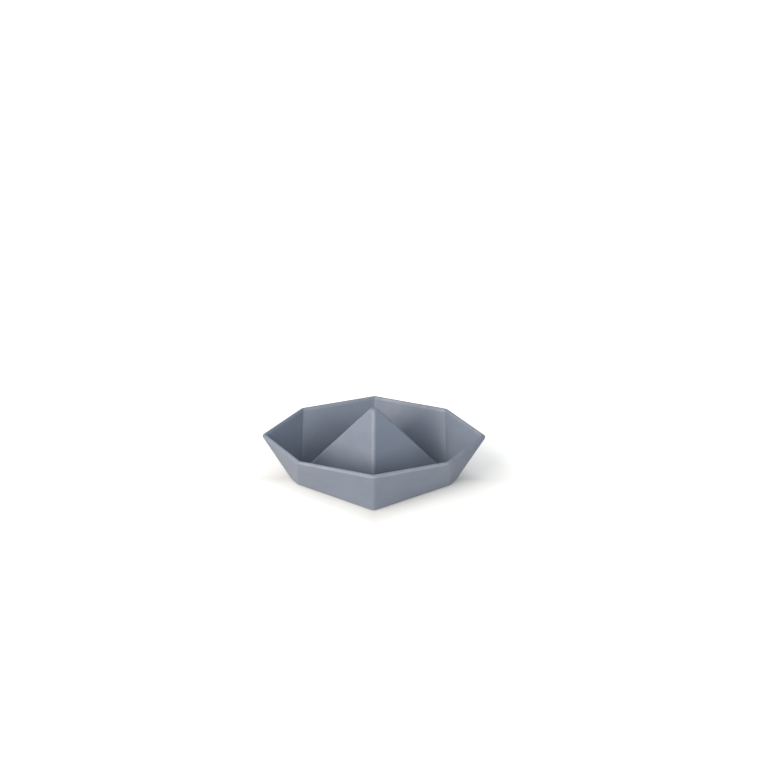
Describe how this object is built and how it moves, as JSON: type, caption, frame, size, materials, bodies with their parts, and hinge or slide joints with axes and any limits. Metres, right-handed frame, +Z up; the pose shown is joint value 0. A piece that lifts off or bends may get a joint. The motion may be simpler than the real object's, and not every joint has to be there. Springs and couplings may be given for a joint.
{
  "type": "moulded silicone toy boat in the form of an origami sailboat",
  "caption": "Toy boat moulded in one piece in the form of a folded paper boat: open eight-sided hull with a four-sided pyramid sail rising from its floor.",
  "frame": {"origin": "on the floor, under the middle of the boat", "axes": "+X along the boat from tip to tip, +Y across it, +Z up through the sail's point"},
  "size_m": [0.1134, 0.074, 0.0436],
  "materials": {
    "silicone": "matte moulded silicone, slate blue-grey, one colour all through"
  },
  "bodies": {
    "root": {"sailboat": "silicone"}
  },
  "joints": []
}
